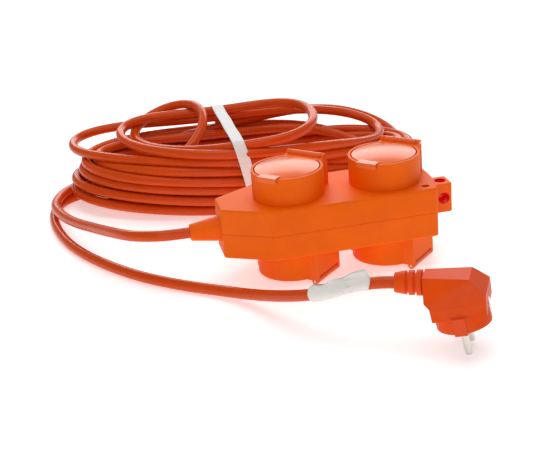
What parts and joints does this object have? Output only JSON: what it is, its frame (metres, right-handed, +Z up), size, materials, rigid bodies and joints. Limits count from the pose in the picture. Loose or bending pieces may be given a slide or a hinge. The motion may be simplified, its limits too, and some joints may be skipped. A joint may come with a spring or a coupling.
{
  "type": "extension cord",
  "caption": "Orange rubber extension lead: flat block with lidded earthed sockets on its top and underside and a hanging lug, a tied hank of round cord and an angled plug.",
  "frame": {"origin": "on the floor under the middle of the socket block's own box (block, boot and lug; cord, hank and plug left out)", "axes": "+X from the block's cord end to its hanging lug, +Y back towards the hank, +Z up"},
  "size_m": [0.3499, 0.4363, 0.087],
  "materials": {
    "shell": "satin moulded rubber-like plastic",
    "lid": "satin",
    "boot": "satin",
    "plug_moulding": "semi-gloss moulded PVC",
    "cord_jacket": "glossy extruded PVC",
    "insert_plastic": "matt",
    "clamp_plastic": "matt",
    "gasket": "matt",
    "steel": "zinc plated",
    "nickel": "nickel plated",
    "brass": "bright",
    "wire_brown": "satin",
    "wire_blue": "satin",
    "wire_earth_green": "satin",
    "tie_paper": "matt",
    "label_paper": "matt"
  },
  "bodies": {
    "block": {"clamp_screws": "steel", "cord_block_end": "cord_jacket", "cord_boot": "boot", "cord_clamp_bottom": "clamp_plastic", "cord_clamp_top": "clamp_plastic", "cord_hank": "cord_jacket", "cord_label": "label_paper", "cord_plug_end": "cord_jacket", "cord_tail": "cord_jacket", "earth_bar": "brass", "earth_contact_1": "nickel", "earth_contact_2": "nickel", "earth_contact_3": "nickel", "earth_contact_4": "nickel", "hank_tie": "tie_paper", "hinge_pin_1": "steel", "hinge_pin_2": "steel", "hinge_pin_3": "steel", "hinge_pin_4": "steel", "housing_screws": "steel", "lid_spring_1": "steel", "lid_spring_2": "steel", "lid_spring_3": "steel", "lid_spring_4": "steel", "live_bar": "brass", "live_contact_sleeves": "brass", "lower_shell": "shell", "neutral_bar": "brass", "neutral_contact_sleeves": "brass", "plug_body": "plug_moulding", "plug_bridge": "insert_plastic", "plug_earth_clips": "nickel", "plug_pins": "nickel", "socket_insert_1": "insert_plastic", "socket_insert_2": "insert_plastic", "socket_insert_3": "insert_plastic", "socket_insert_4": "insert_plastic", "terminal_blocks": "brass", "terminal_screws": "steel", "upper_shell": "shell", "wire_earth": "wire_earth_green", "wire_live": "wire_brown", "wire_neutral": "wire_blue"},
    "socket_lid_1": {"lid_1": "lid", "lid_gasket_1": "gasket"},
    "socket_lid_2": {"lid_2": "lid", "lid_gasket_2": "gasket"},
    "socket_lid_3": {"lid_3": "lid", "lid_gasket_3": "gasket"},
    "socket_lid_4": {"lid_4": "lid", "lid_gasket_4": "gasket"}
  },
  "joints": [
    {"name": "lid_1_hinge", "type": "hinge", "parent": "block", "child": "socket_lid_1", "pos_m": [-0.00427, 0.02008, 0.0845], "axis": [-0.7071, 0.7071, 0], "range_deg": [0, 110], "stiffness_Nm_per_rad": 0.004, "springref_deg": -85.94},
    {"name": "lid_2_hinge", "type": "hinge", "parent": "block", "child": "socket_lid_2", "pos_m": [0.07043, 0.02008, 0.0845], "axis": [-0.7071, 0.7071, 0], "range_deg": [0, 110], "stiffness_Nm_per_rad": 0.004, "springref_deg": -85.94},
    {"name": "lid_3_hinge", "type": "hinge", "parent": "block", "child": "socket_lid_3", "pos_m": [-0.00427, -0.02008, 0.0025], "axis": [-0.7071, -0.7071, 0], "range_deg": [0, 110], "stiffness_Nm_per_rad": 0.004, "springref_deg": -85.94},
    {"name": "lid_4_hinge", "type": "hinge", "parent": "block", "child": "socket_lid_4", "pos_m": [0.07043, -0.02008, 0.0025], "axis": [-0.7071, -0.7071, 0], "range_deg": [0, 110], "stiffness_Nm_per_rad": 0.004, "springref_deg": -85.94}
  ]
}
